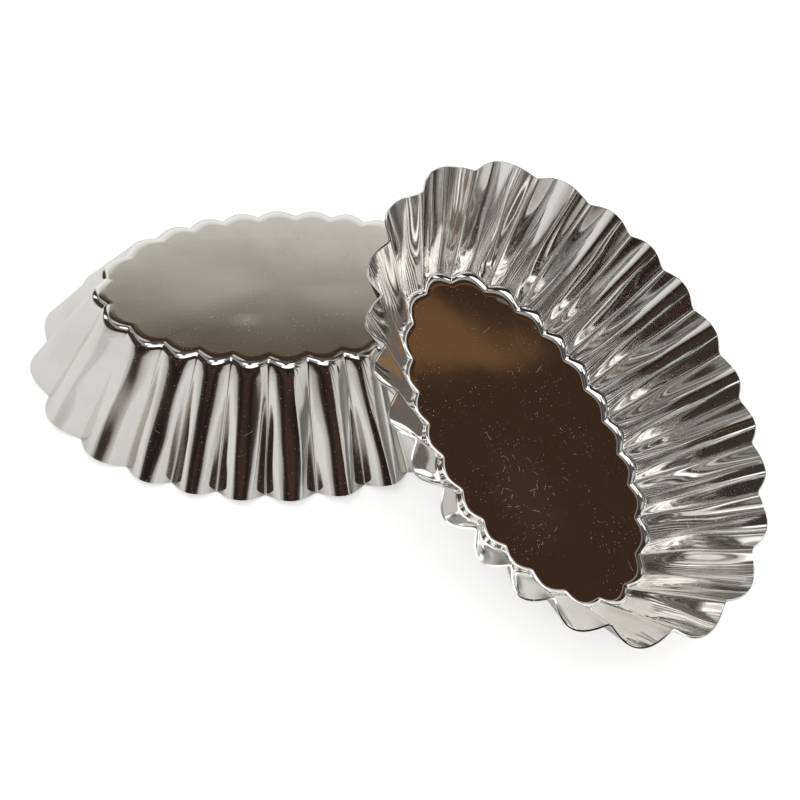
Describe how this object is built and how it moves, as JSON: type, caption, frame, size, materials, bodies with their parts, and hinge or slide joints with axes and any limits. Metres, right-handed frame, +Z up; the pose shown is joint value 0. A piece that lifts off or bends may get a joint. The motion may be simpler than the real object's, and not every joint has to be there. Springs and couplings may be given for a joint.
{
  "type": "oval fluted tart pan pair",
  "caption": "Pair of oval fluted tart pans in bright tinned sheet, one upside down and one leaning on it open side up, for baking small tarts.",
  "frame": {"origin": "on the table, under the middle of the pair's bounding box", "axes": "+Z up from the table, +X along the upturned pan's long axis towards the leaning pan, +Y away from the side both open views face"},
  "size_m": [0.1516, 0.13, 0.0592],
  "materials": {
    "upturned_tinplate": "bright tinned sheet, lightly scratched",
    "leaning_tinplate": "bright tinned sheet, lightly scratched"
  },
  "bodies": {
    "upturned": {"upturned_pan": "upturned_tinplate"},
    "leaning": {"leaning_pan": "leaning_tinplate"}
  },
  "joints": [
    {"name": "lean_lift", "type": "slide", "parent": "upturned", "child": "leaning", "axis": [0, 0, 1], "range_m": [0, 0.08]}
  ]
}
